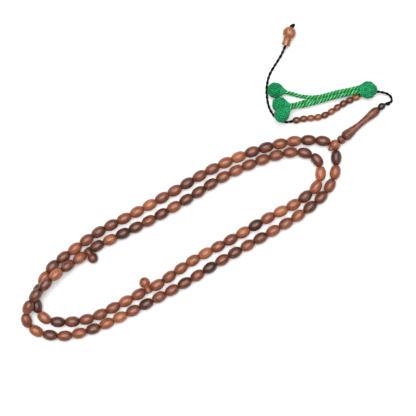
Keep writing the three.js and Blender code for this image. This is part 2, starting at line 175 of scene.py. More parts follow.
class Route:
    """A smooth centripetal path through given points, measured by the distance along it."""

    STEPS_PER_POINT = 40

    def __init__(self, points: Sequence[Vector], closed: bool = False) -> None:
        """Samples the path.

        Args:
            points: What the path goes through, in the frame.
            closed: Whether the path returns to its first point.
        """
        self.closed = closed
        self.points = [Vector(point) for point in points]
        spans = len(points) if closed else len(points) - 1
        count = spans * self.STEPS_PER_POINT
        self.samples = [self._between(step / self.STEPS_PER_POINT) for step in range(count + 1)]
        self.distances = [0.0]
        for before, after in zip(self.samples, self.samples[1:]):
            self.distances.append(self.distances[-1] + (after - before).length)
        self.length = self.distances[-1]

    def _neighbour(self, index: int) -> Vector:
        """Finds a point by its number, wrapped round or carried on past an open end.

        Args:
            index: The point's number.

        Returns:
            The point.
        """
        count = len(self.points)
        if self.closed:
            return self.points[index % count]
        if index < 0:
            return self.points[0] * 2 - self.points[1]
        if index >= count:
            return self.points[-1] * 2 - self.points[-2]
        return self.points[index]

    def _between(self, place: float) -> Vector:
        """Evaluates the curve.

        Args:
            place: A point's number, with how far on towards the next one.

        Returns:
            The point on the curve.
        """
        last_span = len(self.points) - (1 if self.closed else 2)
        span = min(int(place), last_span)
        share = place - span
        p0, p1, p2, p3 = (self._neighbour(span + offset) for offset in (-1, 0, 1, 2))
        t0, t1, t2 = (math.sqrt((b - a).length) for a, b in ((p0, p1), (p1, p2), (p2, p3)))
        leave = ((p1 - p0) / t0 - (p2 - p0) / (t0 + t1) + (p2 - p1) / t1) * t1
        arrive = ((p2 - p1) / t1 - (p3 - p1) / (t1 + t2) + (p3 - p2) / t2) * t1
        square = p1 * -3 + p2 * 3 - leave * 2 - arrive
        cube = p1 * 2 - p2 * 2 + leave + arrive
        return p1 + leave * share + square * share**2 + cube * share**3

    def at(self, distance: float) -> Vector:
        """Finds a point on the path.

        Args:
            distance: How far along, wrapped round on a closed path.

        Returns:
            The point in the frame.
        """
        if self.closed:
            distance %= self.length
        distance = min(max(distance, 0.0), self.length)
        low, high = 0, len(self.distances) - 1
        while high - low > 1:
            middle = (low + high) // 2
            if self.distances[middle] <= distance:
                low = middle
            else:
                high = middle
        span = self.distances[high] - self.distances[low]
        return self.samples[low].lerp(self.samples[high], (distance - self.distances[low]) / span)

    def heading(self, distance: float, reach: float = 0.2 * MM) -> Vector:
        """Returns the direction along the path, as the chord over `reach` to each side."""
        return (self.at(distance + reach) - self.at(distance - reach)).normalized()


# ------------------------------------------------------------------ finishes


class Tone(Enum):
    """How dark a bead's wood is, from 0 for near-black to 1 for light orange."""

    BLACKENED = 0.05
    DARK = 0.28
    MEDIUM = 0.48
    ORANGE = 0.68
    LIGHT = 0.92


TONE_LETTERS = {
    "X": Tone.BLACKENED,
    "D": Tone.DARK,
    "M": Tone.MEDIUM,
    "O": Tone.ORANGE,
    "L": Tone.LIGHT,
}


class NodeBench:
    """Builds one material's nodes."""

    def __init__(self, name: str) -> None:
        """Starts a material with only a surface shader.

        Args:
            name: The material's name.
        """
        self.material = bpy.data.materials.new(name)
        self.material.use_nodes = True
        self.tree = self.material.node_tree
        self.shader = self.tree.nodes["Principled BSDF"]

    def node(self, kind: str, **settings: object) -> bpy.types.Node:
        """Adds a node.

        Args:
            kind: The node's type, without "ShaderNode".
            **settings: Its properties, by name.

        Returns:
            The new node.
        """
        made = self.tree.nodes.new("ShaderNode" + kind)
        for key, value in settings.items():
            setattr(made, key, value)
        return made

    def link(self, source: bpy.types.NodeSocket, target: bpy.types.NodeSocket) -> None:
        """Joins two sockets."""
        self.tree.links.new(source, target)

    def attribute(self, name: str) -> bpy.types.Node:
        """Reads one of the piece's own attributes."""
        return self.node("Attribute", attribute_type="GEOMETRY", attribute_name=name)

    def placed(self, vector: bpy.types.NodeSocket, scale: Sequence[float]) -> bpy.types.NodeSocket:
        """Stretches a pattern's coordinates.

        Args:
            vector: The coordinates.
            scale: The stretch along each axis.

        Returns:
            The stretched coordinates.
        """
        mapping = self.node("Mapping")
        mapping.inputs["Scale"].default_value = scale
        self.link(vector, mapping.inputs["Vector"])
        return mapping.outputs["Vector"]

    def noise(self, vector: bpy.types.NodeSocket, scale: float, detail: float) -> bpy.types.NodeSocket:
        """Adds a cloudy pattern.

        Args:
            vector: The coordinates.
            scale: How many clouds there are to a unit.
            detail: How many finer layers lie on them.

        Returns:
            The pattern's strength, from 0 to 1.
        """
        made = self.node("TexNoise")
        made.inputs["Scale"].default_value = scale
        made.inputs["Detail"].default_value = detail
        self.link(vector, made.inputs["Vector"])
        return made.outputs["Fac"]

    def math(self, operation: str, a: object, b: object) -> bpy.types.NodeSocket:
        """Works out one number from two.

        Args:
            operation: The name of the sum.
            a: A socket or a number.
            b: A socket or a number.

        Returns:
            The result.
        """
        made = self.node("Math", operation=operation)
        for value, socket in zip((a, b), made.inputs):
            if isinstance(value, (int, float)):
                socket.default_value = value
            else:
                self.link(value, socket)
        return made.outputs[0]

    def varied(
        self, base: bpy.types.NodeSocket, pattern: bpy.types.NodeSocket, amount: float
    ) -> bpy.types.NodeSocket:
        """Lets a number swing with a pattern.

        Args:
            base: The number.
            pattern: The pattern, from 0 to 1.
            amount: How far the number swings from one end of the pattern to the other.

        Returns:
            The varied number.
        """
        swing = self.math("MULTIPLY", self.math("SUBTRACT", pattern, 0.5), amount)
        return self.math("ADD", base, swing)

    def ramp(
        self, value: bpy.types.NodeSocket, stops: Sequence[tuple[float, Sequence[float]]]
    ) -> bpy.types.NodeSocket:
        """Turns a number into a colour.

        Args:
            value: The number, from 0 to 1.
            stops: Places and their linear colours, in order.

        Returns:
            The colour.
        """
        made = self.node("ValToRGB")
        elements = made.color_ramp.elements
        elements.remove(elements[-1])
        for index, (place, colour) in enumerate(stops):
            element = elements[0] if index == 0 else elements.new(place)
            element.position = place
            element.color = (*colour, 1)
        self.link(value, made.inputs["Fac"])
        return made.outputs["Color"]

    def bump(self, height: bpy.types.NodeSocket, strength: float, distance: float) -> None:
        """Raises the surface by a pattern.

        Args:
            height: The pattern.
            strength: How strongly it shows.
            distance: How high it stands.
        """
        made = self.node("Bump")
        made.inputs["Strength"].default_value = strength
        made.inputs["Distance"].default_value = distance
        self.link(height, made.inputs["Height"])
        self.link(made.outputs["Normal"], self.shader.inputs["Normal"])

    def rough(self, value: bpy.types.NodeSocket, low: float, high: float) -> None:
        """Lets the roughness follow a pattern.

        Args:
            value: The pattern.
            low: The roughness where it is 0.
            high: The roughness where it is 1.
        """
        made = self.node("MapRange")
        made.inputs["To Min"].default_value = low
        made.inputs["To Max"].default_value = high
        self.link(value, made.inputs["Value"])
        self.link(made.outputs["Result"], self.shader.inputs["Roughness"])

    def fixed(self, **sockets: float) -> None:
        """Sets the shader's own constants, with underscores for spaces in their names."""
        for key, value in sockets.items():
            self.shader.inputs[key.replace("_", " ")].default_value = value


@dataclass(frozen=True)
class WoodFinish:
    """Turned fruitwood with long grain along the piece's own axis. Patterns are sized in millimetres."""

    LONG_GRAIN = (0.16, 1.0, 1.0)
    FINE_GRAIN = (0.22, 1.0, 1.0)
    STREAK_SCALE = 1.25
    CLOUD_SCALE = 0.28
    FINE_SCALE = 5.5
    RING_SCALE = 0.75
    RING_WANDER = 0.5
    RELIEF = 0.06 * MM
    COAT_ROUGHNESS = 0.22

    name: str
    slot: str
    stops: tuple[tuple[float, tuple[float, float, float]], ...]
    rough_low: float = 0.3
    rough_high: float = 0.46
    specular: float = 0.42
    coat: float = 0.22
    streaks: float = 0.7
    pores: float = 0.5
    rings: float = 0.0

    def material(self) -> bpy.types.Material:
        """Builds the material, which reads the attributes "grain" and "tone".

        Returns:
            The material.
        """
        bench = NodeBench(self.name)
        grain = bench.attribute("grain").outputs["Vector"]
        tone = bench.attribute("tone").outputs["Fac"]
        streak = bench.noise(bench.placed(grain, self.LONG_GRAIN), self.STREAK_SCALE, detail=4)
        cloud = bench.noise(grain, self.CLOUD_SCALE, detail=1)
        fine = bench.noise(bench.placed(grain, self.FINE_GRAIN), self.FINE_SCALE, detail=3)
        shade = bench.varied(tone, streak, self.streaks * 2)
        shade = bench.varied(shade, cloud, self.streaks)
        shade = bench.varied(shade, fine, self.streaks)
        bench.link(bench.ramp(shade, self.stops), bench.shader.inputs["Base Color"])
        bench.rough(fine, self.rough_low, self.rough_high)
        height = fine
        if self.rings > 0:
            wave = bench.node("TexWave", bands_direction="X")
            wave.inputs["Scale"].default_value = self.RING_SCALE
            wave.inputs["Distortion"].default_value = self.RING_WANDER
            bench.link(grain, wave.inputs["Vector"])
            height = bench.math("ADD", bench.math("MULTIPLY", wave.outputs["Fac"], self.rings), fine)
        bench.bump(height, self.pores, self.RELIEF)
        bench.fixed(
            Coat_Weight=self.coat, Coat_Roughness=self.COAT_ROUGHNESS, Specular_IOR_Level=self.specular
        )
        return bench.material


@dataclass(frozen=True)
class YarnFinish:
    """Twisted yarn, with fibres that wind along each ply. Patterns are sized in millimetres."""

    HAIR_STRETCH = (1.0, 1.0, 0.25)
    HAIR_SCALE = 3.2
    HAIR_TONE = 0.8
    PATCH_SCALE = 0.55
    PATCH_TONE = 0.5
    RELIEF = 0.12 * MM
    RELIEF_STRENGTH = 0.5
    ROUGH_LOW = 0.7
    ROUGH_HIGH = 0.92
    SPECULAR = 0.12
    SHEEN_ROUGHNESS = 0.5

    name: str
    slot: str
    stops: tuple[tuple[float, tuple[float, float, float]], ...]
    sheen: float = 0.0

    def material(self) -> bpy.types.Material:
        """Builds the material, which reads the attributes "fibre" and "tone".

        Returns:
            The material.
        """
        bench = NodeBench(self.name)
        fibre = bench.attribute("fibre").outputs["Vector"]
        tone = bench.attribute("tone").outputs["Fac"]
        hairs = bench.noise(bench.placed(fibre, self.HAIR_STRETCH), self.HAIR_SCALE, detail=3)
        patches = bench.noise(fibre, self.PATCH_SCALE, detail=2)
        shade = bench.varied(bench.varied(tone, hairs, self.HAIR_TONE), patches, self.PATCH_TONE)
        bench.link(bench.ramp(shade, self.stops), bench.shader.inputs["Base Color"])
        bench.rough(hairs, self.ROUGH_LOW, self.ROUGH_HIGH)
        bench.bump(hairs, self.RELIEF_STRENGTH, self.RELIEF)
        bench.fixed(
            Sheen_Weight=self.sheen, Sheen_Roughness=self.SHEEN_ROUGHNESS, Specular_IOR_Level=self.SPECULAR
        )
        return bench.material


BEAD_WOOD = WoodFinish(
    "bead_wood",
    "bead_wood",
    (
        (0.0, (0.040, 0.013, 0.008)),
        (0.28, (0.118, 0.033, 0.016)),
        (0.48, (0.172, 0.045, 0.020)),
        (0.68, (0.225, 0.064, 0.027)),
        (1.0, (0.345, 0.110, 0.042)),
    ),
)
LIGHT_WOOD = WoodFinish(
    "light_wood",
    "light_wood",
    ((0.1, (0.150, 0.042, 0.014)), (0.5, (0.285, 0.092, 0.033)), (0.9, (0.430, 0.170, 0.068))),
    streaks=0.8,
)
HEAD_WOOD = WoodFinish(
    "head_wood",
    "light_wood",
    ((0.1, (0.110, 0.028, 0.013)), (0.5, (0.238, 0.070, 0.031)), (0.9, (0.400, 0.140, 0.068))),
    rough_low=0.36,
    rough_high=0.54,
    coat=0.14,
    pores=0.36,
    streaks=0.95,
)
IMAM_WOOD = WoodFinish(
    "imam_wood",
    "imam_wood",
    ((0.1, (0.060, 0.016, 0.008)), (0.5, (0.158, 0.046, 0.023)), (0.9, (0.290, 0.108, 0.060))),
    rough_low=0.32,
    rough_high=0.5,
    specular=0.34,
    coat=0.08,
    pores=0.4,
    rings=1.1,
    streaks=0.85,
)
DARK_WOOD = WoodFinish(
    "dark_wood",
    "dark_wood",
    ((0.2, (0.008, 0.005, 0.004)), (0.6, (0.026, 0.015, 0.011)), (1.0, (0.060, 0.038, 0.028))),
)
GREEN_ROPE = YarnFinish(
    "green_rope",
    "green_rope",
    (
        (0.0, (0.001, 0.026, 0.007)),
        (0.3, (0.012, 0.150, 0.042)),
        (0.55, (0.045, 0.360, 0.105)),
        (0.9, (0.190, 0.680, 0.260)),
    ),
)
GREEN_KNOT = YarnFinish(
    "green_knot",
    "green_rope",
    (
        (0.0, (0.001, 0.016, 0.006)),
        (0.3, (0.003, 0.085, 0.030)),
        (0.6, (0.009, 0.225, 0.078)),
        (0.9, (0.030, 0.430, 0.150)),
    ),
)
BLACK_CORD = YarnFinish(
    "black_cord",
    "black_cord",
    ((0.0, (0.001, 0.001, 0.001)), (0.5, (0.003, 0.003, 0.004)), (1.0, (0.012, 0.011, 0.013))),
    sheen=0.04,
)


class Wardrobe:
    """Makes each finish's material once and hands it out."""

    def __init__(self) -> None:
        """Starts with nothing made."""
        self._made: dict[str, bpy.types.Material] = {}

    def dress(
        self,
        piece: bpy.types.Object,
        finish: WoodFinish | YarnFinish,
        node: str | None = None,
        body: str | None = None,
    ) -> None:
        """Gives a piece its finish, hides the CAD node that it replaces and hangs it on its body.

        Args:
            piece: The piece.
            finish: What it is made of.
            node: The CAD node that it replaces, if it replaces one.
            body: The body that it rides on, or None to leave it unattached.
        """
        if finish.name not in self._made:
            self._made[finish.name] = finish.material()
        piece.data.materials.clear()
        piece.data.materials.append(self._made[finish.name])
        if node:
            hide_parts(node)
        if body:
            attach(piece, body)


# ------------------------------------------------------------------ making pieces


def aimed(centre: Vector, direction: Vector, roll: float = 0.0) -> Matrix:
    """Places what was made about +X.

    Args:
        centre: Where its own zero goes.
        direction: Where its +X points.
        roll: A turn about that direction, in radians.

    Returns:
        The placement.
    """
    ahead = direction.normalized()
    side = Z_AXIS.cross(ahead).normalized()
    up = ahead.cross(side)
    turned_frame = Matrix((ahead, side, up)).transposed().to_4x4()
    return Matrix.Translation(centre) @ turned_frame @ Matrix.Rotation(roll, 4, "X")


class Lathe:
    """Turns round pieces about +X by spinning an outline, and places copies of them."""

    SMOOTH_BELOW = math.radians(38)
    MERGE_POINTS = 0.001 * MM
    MERGE_SEAM = 0.005 * MM
    PLANK_REACH = 400
    # Towards both ends the tone darkens: partly end grain, partly painted shade where the pieces meet.
    END_DARKENING_FROM = 0.5
    END_GRAIN_AND_PAINTED_SHADE = 0.3
    DRILL_SIDES = 20

    @staticmethod
    def deselect() -> None:
        """Leaves nothing selected, in object mode."""
        if bpy.context.mode != "OBJECT":
            bpy.ops.object.mode_set(mode="OBJECT")
        bpy.ops.object.select_all(action="DESELECT")

    @classmethod
    def turn(cls, name: str, outline: Sequence[tuple[float, float]], sides: int) -> bpy.types.Object:
        """Spins an outline into a closed solid.

        Args:
            name: The piece's name.
            outline: Points (place along the axis, radius). It starts and ends on the axis, or goes on along
                a bore's wall and is closed here.
            sides: How many flats the round has.

        Returns:
            The piece, still at the origin.
        """
        cls.deselect()
        points = list(outline)
        if points[0][1] > 0:
            points.append(points[0])
        bpy.ops.mesh.primitive_plane_add(size=MM)
        piece = bpy.context.active_object
        piece.name = name
        bpy.ops.object.mode_set(mode="EDIT")
        bpy.ops.mesh.select_all(action="SELECT")
        bpy.ops.mesh.merge(type="CENTER")
        bpy.ops.transform.translate(value=(points[0][0], 0, points[0][1]))
        for (x0, r0), (x1, r1) in zip(points, points[1:]):
            bpy.ops.mesh.extrude_vertices_move(TRANSFORM_OT_translate={"value": (x1 - x0, 0, r1 - r0)})
        bpy.ops.mesh.select_all(action="SELECT")
        bpy.ops.mesh.remove_doubles(threshold=cls.MERGE_POINTS)
        bpy.ops.mesh.select_all(action="SELECT")
        bpy.ops.mesh.spin(steps=sides, angle=2 * math.pi, center=(0, 0, 0), axis=(1, 0, 0))
        bpy.ops.mesh.select_all(action="SELECT")
        bpy.ops.mesh.remove_doubles(threshold=cls.MERGE_SEAM)
        bpy.ops.mesh.normals_make_consistent(inside=False)
        bpy.ops.object.mode_set(mode="OBJECT")
        piece.select_set(True)
        bpy.ops.object.shade_smooth_by_angle(angle=cls.SMOOTH_BELOW)
        return piece

    @classmethod
    def grain(cls, piece: bpy.types.Object, tone: float, chance: random.Random) -> None:
        """Gives a piece its own wood: where in the plank it was cut, and how dark it is.

        Args:
            piece: The piece, still at the origin, with its axis along X.
            tone: How light the wood is, from 0 to 1. It darkens towards both ends: partly for the end grain,
                partly as painted shade where the piece meets its neighbours.
            chance: Where the plank's place comes from.
        """
        mesh = piece.data
        offset = Vector([chance.uniform(-cls.PLANK_REACH, cls.PLANK_REACH) for _ in range(3)])
        turn = Matrix.Rotation(chance.uniform(0, 2 * math.pi), 3, "X")
        values = []
        for vertex in mesh.vertices:
            values.extend(turn @ (vertex.co / MM) + offset)
        mesh.attributes.new("grain", "FLOAT_VECTOR", "POINT").data.foreach_set("vector", values)
        places = [vertex.co.x for vertex in mesh.vertices]
        middle, half = (max(places) + min(places)) / 2, (max(places) - min(places)) / 2
        shades = []
        for place in places:
            # End grain plus painted shade, growing towards the ends.
            towards_end = max(0.0, abs(place - middle) / half - cls.END_DARKENING_FROM) / (1 - cls.END_DARKENING_FROM)
            shades.append(tone - cls.END_GRAIN_AND_PAINTED_SHADE * towards_end**2)
        mesh.attributes.new("tone", "FLOAT", "POINT").data.foreach_set("value", shades)

    @classmethod
    def settle(cls, pieces: Sequence[bpy.types.Object]) -> None:
        """Puts each piece's place into its mesh.

        Args:
            pieces: The pieces.
        """
        cls.deselect()
        for piece in pieces:
            piece.select_set(True)
        bpy.context.view_layer.objects.active = pieces[0]
        bpy.ops.object.transform_apply(location=True, rotation=True, scale=True)

    @classmethod
    def made(
        cls,
        name: str,
        outline: Sequence[tuple[float, float]],
        sides: int,
        tone: float,
        placement: Matrix,
        chance: random.Random,
    ) -> bpy.types.Object:
        """Turns one piece, gives it its wood and puts it in its place.

        Args:
            name: The piece's name.
            outline: As for `turn`, but in millimetres.
            sides: How many flats the round has.
            tone: How light the wood is, from 0 to 1.
            placement: Where the piece goes.
            chance: Where the plank's place comes from.

        Returns:
            The piece.
        """
        piece = cls.turn(name, [(x * MM, r * MM) for x, r in outline], sides)
        cls.grain(piece, tone, chance)
        piece.matrix_world = placement
        cls.settle([piece])
        return piece

    @staticmethod
    def copy(master: bpy.types.Object, name: str) -> bpy.types.Object:
        """Copies a piece with a mesh of its own.

        Args:
            master: What is copied.
            name: The copy's name.

        Returns:
            The copy.
        """
        made = master.copy()
        made.data = master.data.copy()
        made.name = name
        bpy.context.scene.collection.objects.link(made)
        return made

    @classmethod
    def drill(cls, piece: bpy.types.Object, start: Vector, end: Vector, radius: float) -> None:
        """Cuts a round hole through a piece.

        Args:
            piece: What is drilled.
            start: Where the drill starts.
            end: Where it stops.
            radius: The hole's radius.
        """
        cls.deselect()
        along = end - start
        turn = along.to_track_quat("Z", "Y").to_euler()
        bpy.ops.mesh.primitive_cylinder_add(
            vertices=cls.DRILL_SIDES,
            radius=radius,
            depth=along.length,
            location=(start + end) / 2,
            rotation=turn,
        )
        cutter = bpy.context.active_object
        cls.settle([cutter])
        hole = piece.modifiers.new("hole", "BOOLEAN")
        hole.operation = "DIFFERENCE"
        hole.solver = "EXACT"
        hole.object = cutter
        cls.deselect()
        piece.select_set(True)
        bpy.context.view_layer.objects.active = piece
        bpy.ops.object.modifier_apply(modifier="hole")
        bpy.data.objects.remove(cutter)


def arc(
    centre: float, half_length: float, radius: float, first: float, last: float, steps: int
) -> list[tuple[float, float]]:
    """Rounds a part of a turned piece's outline.

    Args:
        centre: Where the round's middle is along the axis.
        half_length: Half its length along the axis.
        radius: Its radius.
        first: The angle from the axis at which it starts, in degrees.
        last: The angle at which it ends, in degrees.
        steps: How many straight steps it has.

    Returns:
        Its points (place along the axis, radius).
    """
    points = []
    for step in range(steps + 1):
        angle = math.radians(first + (last - first) * step / steps)
        points.append((centre + half_length * math.cos(angle), radius * math.sin(angle)))
    return points


OVAL_FULLNESS = 2.2
OVAL_LIP = 0.06
OVAL_LIP_RISE = 0.3


def oval(half: float, radius: float, end_radius: float, bore: float, rings: int) -> list[tuple[float, float]]:
    """Outlines an oval bead with blunt, slightly rounded ends round its bore.

    Args:
        half: Half its length.
        radius: Its radius at the middle.
        end_radius: The radius of its blunt ends.
        bore: The bore's radius.
        rings: How many steps the oval has from end to end.

    Returns:
        The outline, ready to be closed.
    """
    reach = half / (1 - (end_radius / radius) ** 2) ** (1 / OVAL_FULLNESS)
    outer = []
    for step in range(rings + 1):
        angle = math.pi * step / rings
        x = -half * math.cos(angle)
        outer.append((x, radius * math.sqrt(1 - abs(x / reach) ** OVAL_FULLNESS)))
    rim = (end_radius + bore) / 2
    lip = OVAL_LIP * half
    crest = half + lip * OVAL_LIP_RISE
    return [(-crest, rim), *outer, (crest, rim), (half - lip, bore), (-half + lip, bore)]


@dataclass
class Skein:
    """What a yarn's mesh is made from: its points and walls, and each point's fibre place and tone, with its
    painted groove shade.
    """

    vertices: list[Vector] = field(default_factory=list)
    faces: list[tuple[int, ...]] = field(default_factory=list)
    fibres: list[float] = field(default_factory=list)
    shades: list[float] = field(default_factory=list)


@dataclass
class Yarn:
    """Strands along given paths as one mesh."""

    STEEP = 0.9
    # How quickly the painted groove shade reaches its full depth, away from the outward side.
    GROOVE_SHADE_WIDTH = 1.6

    radius: float
    corners: int = 8
    twist_per_mm: float = 0.55
    # How much darker the painted groove shade makes the yarn's tone.
    groove_shade: float = 0.3

    def mesh(
        self,
        name: str,
        paths: Sequence[Sequence[Vector]],
        tones: Sequence[float],
        closed: bool = False,
        hearts: Sequence[Vector] | None = None,
    ) -> bpy.types.Object:
        """Lays a round strand along each path.

        Args:
            name: The piece's name.
            paths: The strands' centrelines, in the frame.
            tones: How light each strand is, from 0 to 1.
            closed: Whether each path returns to its first point.
            hearts: For each step, the middle that the strands lie round. The yarn is painted darker on the
                side towards it: painted shade in the grooves.

        Returns:
            The piece.
        """
        skein = Skein()
        for path, tone in zip(paths, tones):
            self._strand(skein, path, tone, closed, hearts)
        mesh = bpy.data.meshes.new(name)
        mesh.from_pydata(skein.vertices, [], skein.faces)
        mesh.attributes.new("fibre", "FLOAT_VECTOR", "POINT").data.foreach_set("vector", skein.fibres)
        mesh.attributes.new("tone", "FLOAT", "POINT").data.foreach_set("value", skein.shades)
        mesh.shade_smooth()
        mesh.validate()
        piece = bpy.data.objects.new(name, mesh)
        bpy.context.scene.collection.objects.link(piece)
        return piece

    def _strand(
        self,
        skein: Skein,
        path: Sequence[Vector],
        tone: float,
        closed: bool,
        hearts: Sequence[Vector] | None,
    ) -> None:
        """Adds one strand's rings, walls and ends.

        Args:
            skein: Where they are added.
            path: The strand's centreline.
            tone: How light the strand is.
            closed: Whether the path returns to its first point.
            hearts: As for `mesh`.
        """
        first = len(skein.vertices)
        count = len(path)
        side = None
        travelled = 0.0
        for index, centre in enumerate(path):
            after = path[(index + 1) % count] if closed or index < count - 1 else centre
            before = path[index - 1] if closed or index > 0 else centre
            heading = (after - before).normalized()
            if side is None:
                helper = Z_AXIS if abs(heading.z) < self.STEEP else X_AXIS
                side = helper.cross(heading).normalized()
            side = (side - heading * side.dot(heading)).normalized()
            up = heading.cross(side)
            if index:
                travelled += (centre - path[index - 1]).length / MM
            outwards = (centre - hearts[index]).normalized() if hearts else Vector()
            for corner in range(self.corners):
                angle = 2 * math.pi * corner / self.corners
                away = side * math.cos(angle) + up * math.sin(angle)
                skein.vertices.append(centre + away * self.radius)
                wound = angle + travelled * self.twist_per_mm
                skein.fibres.extend((math.cos(wound), math.sin(wound), travelled + first))
                # Painted shade: the tone drops on the side facing the heart, where the grooves between
                # strands are.
                depth = min(1.0, self.GROOVE_SHADE_WIDTH * (1 - away.dot(outwards))) if hearts else 0.0
                skein.shades.append(tone - self.groove_shade * depth)
        rings = count if closed else count - 1
        for ring in range(rings):
            for corner in range(self.corners):
                low = first + ring * self.corners
                high = first + ((ring + 1) % count) * self.corners
                following = (corner + 1) % self.corners
                skein.faces.append((low + corner, low + following, high + following, high + corner))
        if not closed:
            skein.faces.append(tuple(first + corner for corner in reversed(range(self.corners))))
            last = first + (count - 1) * self.corners
            skein.faces.append(tuple(last + corner for corner in range(self.corners)))


@dataclass
class TwistedCord:
    """A cord of left-handed plies twisted round its centreline."""

    FIBRE_TWIST = 1.2
    STEPS_PER_TURN = 16

    diameter: float
    plies: int
    lay: float
    plumpness: float
    # How much painted shade darkens each ply in the grooves between the plies.
    groove_shade: float

    def ply_radius(self) -> float:
        """Returns the radius of one ply, so that all of them fit in the cord's diameter."""
        return self.diameter / 2 / (1 + 1 / math.sin(math.pi / self.plies))

    def build(self, name: str, route: Route, tones: Sequence[float]) -> bpy.types.Object:
        """Twists the plies along a route.

        Args:
            name: The piece's name.
            route: The cord's centreline.
            tones: How light each ply is, from 0 to 1.

        Returns:
            The piece.
        """
        ply = self.ply_radius()
        orbit = self.diameter / 2 - ply
        steps = round(route.length / self.lay * self.STEPS_PER_TURN)
        paths: list[list[Vector]] = [[] for _ in range(self.plies)]
        hearts = []
        for step in range(steps + 1):
            distance = route.length * step / steps
            centre = route.at(distance)
            # The centreline that each ply is painted darker towards: painted shade in the grooves.
            hearts.append(centre)
            heading = route.heading(distance)
            side = Z_AXIS.cross(heading).normalized()
            up = heading.cross(side)
            for index, path in enumerate(paths):
                angle = 2 * math.pi * (index / self.plies - distance / self.lay)
                path.append(centre + (side * math.cos(angle) + up * math.sin(angle)) * orbit)
        yarn = Yarn(radius=ply * self.plumpness, twist_per_mm=self.FIBRE_TWIST, groove_shade=self.groove_shade)
        return yarn.mesh(name, paths, tones, hearts=hearts)


@dataclass
class WovenKnot:
    """A round knot worked over and under itself, with a neck wound down to its rope."""

    LOOK_AHEAD = 0.01
    CROSSING_STEEPNESS = 3
    STRAND_SPACING = 1.85
    STRAND_CORNERS = 7
    STRAND_TONES = (0.7, 0.92)
    FIBRE_TWIST = 1.4
    # How much painted shade darkens the strands where they lie against one another.
    GROOVE_SHADE = 0.72
    TABLE_GAP = 0.02 * MM
    NECK_START = 0.66
    NECK_WIDTH = 0.68
    NECK_PITCH = 1.5
    NECK_TAPER = 0.8
    NECK_TONE = 0.84
    NECK_STEPS_PER_TURN = 20
    COLLAR_INSET = 0.7
    COLLAR_TONE = 0.5
    COLLAR_STEPS = 32
    # The core's tone: painted shade, a near-black green.
    CORE_SHADE_TONE = 0.12
    CORE_GAP = 0.3

    centre: Vector
    direction: Vector
    radius: float
    strand_radius: float = 0.6 * MM
    leads: int = 5
    bights: int = 7
    strands: int = 3
    weave: float = 0.42 * MM
    tilt: float = math.radians(78)
    length_factor: float = 1.0
    height_factor: float = 1.0
    neck_end: float = 0.0
    neck_radius: float = 1.5 * MM
    collar_radius: float = 0.0
    steps: int = 620

    def _surface(self, turn: float, offset: float) -> Vector:
        """Finds a point of the yarn.

        Args:
            turn: How far round the knot the yarn has gone, in radians.
            offset: How far beside the middle strand it lies.

        Returns:
            The point, about the knot's centre, with the knot's axis along X.
        """
        swing = self.bights * turn / self.leads
        latitude = self.tilt * math.cos(swing)
        side = max(-1.0, min(1.0, self.CROSSING_STEEPNESS * math.sin(swing)))
        lift = self.weave * math.cos(self.leads * swing) * side
        middle = self._on_ball(turn, latitude)
        onward = turn + self.LOOK_AHEAD
        ahead = self._on_ball(onward, self.tilt * math.cos(self.bights * onward / self.leads))
        beside = middle.cross(ahead - middle).normalized()
        reach = self.radius - self.strand_radius - self.weave
        point = (middle * reach + beside * offset).normalized() * (reach + lift)
        return Vector((point.x * self.length_factor, point.y, point.z))

    @staticmethod
    def _on_ball(turn: float, latitude: float) -> Vector:
        """Returns a point of the unit ball about the X axis."""
        across = math.cos(latitude)
        return Vector((math.sin(latitude), across * math.cos(turn), across * math.sin(turn)))

    def _placed(self, point: Vector) -> Vector:
        """Moves a point into the frame, pressed down a little but above the table.

        Args:
            point: The point about the knot's own centre, with the knot's axis along X.

        Returns:
            The point in the frame.
        """
        made = aimed(Vector(), self.direction) @ point
        made.z *= self.height_factor
        made += self.centre
        made.z = max(made.z, self.strand_radius + self.TABLE_GAP)
        return made

    def _neck(self) -> tuple[list[Vector], list[Vector]]:
        """Winds the neck from the ball's shoulder down to the rope.

        Returns:
            The yarn's centreline, and for each of its points the neck's own middle.
        """
        start = self.NECK_START * self.radius * self.length_factor
        wide = self.NECK_WIDTH * self.radius
        turns = (self.neck_end - start) / (self.NECK_PITCH * self.strand_radius)
        count = round(turns * self.NECK_STEPS_PER_TURN)
        path, middles = [], []
        for step in range(count + 1):
            share = step / count
            angle = 2 * math.pi * turns * share
            radius = wide + (self.neck_radius - wide) * share**self.NECK_TAPER
            x = start + (self.neck_end - start) * share
            path.append(self._placed(Vector((x, radius * math.cos(angle), radius * math.sin(angle)))))
            middles.append(self._placed(Vector((x, 0.0, 0.0))))
        return path, middles

    def _collar(self) -> list[Vector]:
        """Rings the far end, where the cord leaves.

        Returns:
            The yarn's centreline.
        """
        x = -(self.radius * self.length_factor - self.COLLAR_INSET * self.strand_radius)
        turns = [2 * math.pi * step / self.COLLAR_STEPS for step in range(self.COLLAR_STEPS)]
        reach = self.collar_radius
        return [self._placed(Vector((x, reach * math.cos(turn), reach * math.sin(turn)))) for turn in turns]

    def build(self, name: str, chance: random.Random) -> bpy.types.Object:
        """Works the knot.

        Args:
            name: The piece's name.
            chance: Where the strands' small differences come from.

        Returns:
            The piece: a core, the woven strands and the neck.
        """
        spacing = self.STRAND_SPACING * self.strand_radius
        yarn = Yarn(self.strand_radius, self.STRAND_CORNERS, self.FIBRE_TWIST, self.GROOVE_SHADE)
        paths, tones = [], []
        for strand in range(self.strands):
            offset = (strand - (self.strands - 1) / 2) * spacing
            turns = [2 * math.pi * self.leads * step / self.steps for step in range(self.steps)]
            paths.append([self._placed(self._surface(turn, offset)) for turn in turns])
            tones.append(chance.uniform(*self.STRAND_TONES))
        # Each strand is painted darker on its side towards the knot's centre: painted shade between the
        # strands.
        woven = yarn.mesh(name, paths, tones, closed=True, hearts=[self.centre] * self.steps)
        extras = [self._core(name + "_core")]
        if self.neck_end > 0:
            neck, middles = self._neck()
